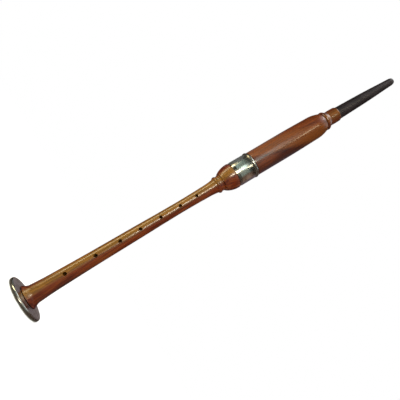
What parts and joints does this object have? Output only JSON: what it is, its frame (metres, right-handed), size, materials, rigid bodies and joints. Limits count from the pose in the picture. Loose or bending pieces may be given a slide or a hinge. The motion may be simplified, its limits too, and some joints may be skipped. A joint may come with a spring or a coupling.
{
  "type": "practice chanter",
  "caption": "Turned wooden practice chanter with finger holes, a flat metal sole, a bulb and wound tenon, a double reed, a barrel with a metal ferrule, and a black tapered mouthpiece.",
  "frame": {"origin": "centre of the sole's flat underside, on the bore's axis", "axes": "+Z along the bore towards the mouthpiece, -Y towards the player's fingers, where the finger holes open, +Y towards the thumb hole"},
  "size_m": [0.0514, 0.0514, 0.5019],
  "materials": {
    "stem_wood": "gloss varnished red-brown rosewood",
    "barrel_wood": "gloss varnished orange-brown rosewood",
    "nickel": "polished nickel silver",
    "mouthpiece_black": "satin black",
    "hemp": "waxed yellow hemp thread",
    "staple_brass": "drawn brass",
    "cane": "scraped cane",
    "thread": "waxed red thread"
  },
  "bodies": {
    "chanter": {"chanter_stem": "stem_wood", "sole": "nickel", "tenon_hemp": "hemp"},
    "reed": {"reed_staple": "staple_brass", "reed_seat_hemp": "hemp", "reed_blade_front": "cane", "reed_blade_back": "cane", "reed_binding": "thread"},
    "top_section": {"barrel": "barrel_wood", "ferrule": "nickel"},
    "mouthpiece": {"mouthpiece_mount": "barrel_wood", "mount_hemp": "hemp", "mouthpiece_tube": "mouthpiece_black"}
  },
  "joints": [
    {"name": "top_section_pull", "type": "slide", "parent": "chanter", "child": "top_section", "axis": [0, 0, 1], "range_m": [0, 0.09]},
    {"name": "reed_pull", "type": "slide", "parent": "chanter", "child": "reed", "axis": [0, 0, 1], "range_m": [0, 0.018]},
    {"name": "mouthpiece_pull", "type": "slide", "parent": "top_section", "child": "mouthpiece", "axis": [0, 0, 1], "range_m": [0, 0.03]}
  ]
}
